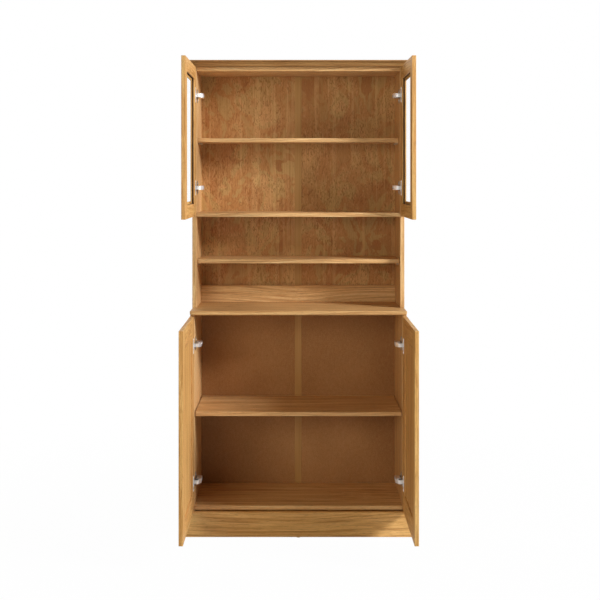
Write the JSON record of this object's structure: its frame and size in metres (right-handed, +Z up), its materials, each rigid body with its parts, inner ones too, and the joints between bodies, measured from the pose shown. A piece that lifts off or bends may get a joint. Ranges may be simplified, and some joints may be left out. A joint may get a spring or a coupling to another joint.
{
  "type": "display cabinet",
  "caption": "Tall oak display cabinet: panelled base cupboard with a plinth, and a shallower hutch with an open shelf and a glazed cupboard under a cornice; doors hinge open.",
  "frame": {"origin": "on the floor, at the middle of the cabinet's bounding box with all four doors open square", "axes": "+X to the right seen from the front, +Y to the back, +Z up"},
  "size_m": [0.856, 0.7376, 1.8],
  "materials": {
    "oak_carcass": "satin lacquer",
    "oak_door": "satin lacquer",
    "back_board": "printed fibreboard, matt",
    "joint_strip": "matt",
    "glide": "matt",
    "zinc": "zinc plated",
    "dowel": "bare",
    "clear_glass": "clear float glass",
    "dark_seal": "matt",
    "nickel": "nickel plated"
  },
  "bodies": {
    "cabinet": {"base_side_left": "oak_carcass", "base_side_right": "oak_carcass", "base_bottom": "oak_carcass", "base_shelf": "oak_carcass", "plinth_front": "oak_carcass", "plinth_left": "oak_carcass", "plinth_right": "oak_carcass", "plinth_back": "oak_carcass", "worktop": "oak_carcass", "hutch_side_left": "oak_carcass", "hutch_side_right": "oak_carcass", "hutch_top": "oak_carcass", "hutch_mid_shelf": "oak_carcass", "hutch_glazed_shelf": "oak_carcass", "hutch_open_shelf": "oak_carcass", "upstand_rail": "oak_carcass", "cornice_front": "oak_carcass", "cornice_left": "oak_carcass", "cornice_right": "oak_carcass", "base_back_left": "back_board", "base_back_right": "back_board", "hutch_back_left": "back_board", "hutch_back_right": "back_board", "base_back_joint_strip": "joint_strip", "hutch_back_joint_strip": "joint_strip", "floor_glides": "glide", "shelf_pins": "zinc", "dowels": "dowel", "hinge_arms": "nickel", "hinge_plates": "nickel", "hinge_plate_screws": "nickel", "hinge_arm_screws": "nickel"},
    "upper_left_door": {"upper_left_hinge_stile": "oak_door", "upper_left_meeting_stile": "oak_door", "upper_left_top_rail": "oak_door", "upper_left_bottom_rail": "oak_door", "upper_left_glass": "clear_glass", "upper_left_glazing_seal": "dark_seal", "upper_left_glazing_beads": "oak_door", "upper_left_hinge_cups": "nickel"},
    "lower_left_door": {"lower_left_hinge_stile": "oak_door", "lower_left_meeting_stile": "oak_door", "lower_left_top_rail": "oak_door", "lower_left_bottom_rail": "oak_door", "lower_left_panel": "oak_door", "lower_left_hinge_cups": "nickel"},
    "upper_right_door": {"upper_right_hinge_stile": "oak_door", "upper_right_meeting_stile": "oak_door", "upper_right_top_rail": "oak_door", "upper_right_bottom_rail": "oak_door", "upper_right_glass": "clear_glass", "upper_right_glazing_seal": "dark_seal", "upper_right_glazing_beads": "oak_door", "upper_right_hinge_cups": "nickel"},
    "lower_right_door": {"lower_right_hinge_stile": "oak_door", "lower_right_meeting_stile": "oak_door", "lower_right_top_rail": "oak_door", "lower_right_bottom_rail": "oak_door", "lower_right_panel": "oak_door", "lower_right_hinge_cups": "nickel"}
  },
  "joints": [
    {"name": "lower_left_door_hinge", "type": "hinge", "parent": "cabinet", "child": "lower_left_door", "pos_m": [-0.3995, 0.02925, 0.464], "axis": [0, 0, 1], "range_deg": [-20, 90]},
    {"name": "lower_right_door_hinge", "type": "hinge", "parent": "cabinet", "child": "lower_right_door", "pos_m": [0.3995, 0.02925, 0.464], "axis": [0, 0, 1], "range_deg": [-90, 20]},
    {"name": "upper_left_door_hinge", "type": "hinge", "parent": "cabinet", "child": "upper_left_door", "pos_m": [-0.3995, 0.11425, 1.4895], "axis": [0, 0, 1], "range_deg": [-20, 90]},
    {"name": "upper_right_door_hinge", "type": "hinge", "parent": "cabinet", "child": "upper_right_door", "pos_m": [0.3995, 0.11425, 1.4895], "axis": [0, 0, 1], "range_deg": [-90, 20]}
  ]
}
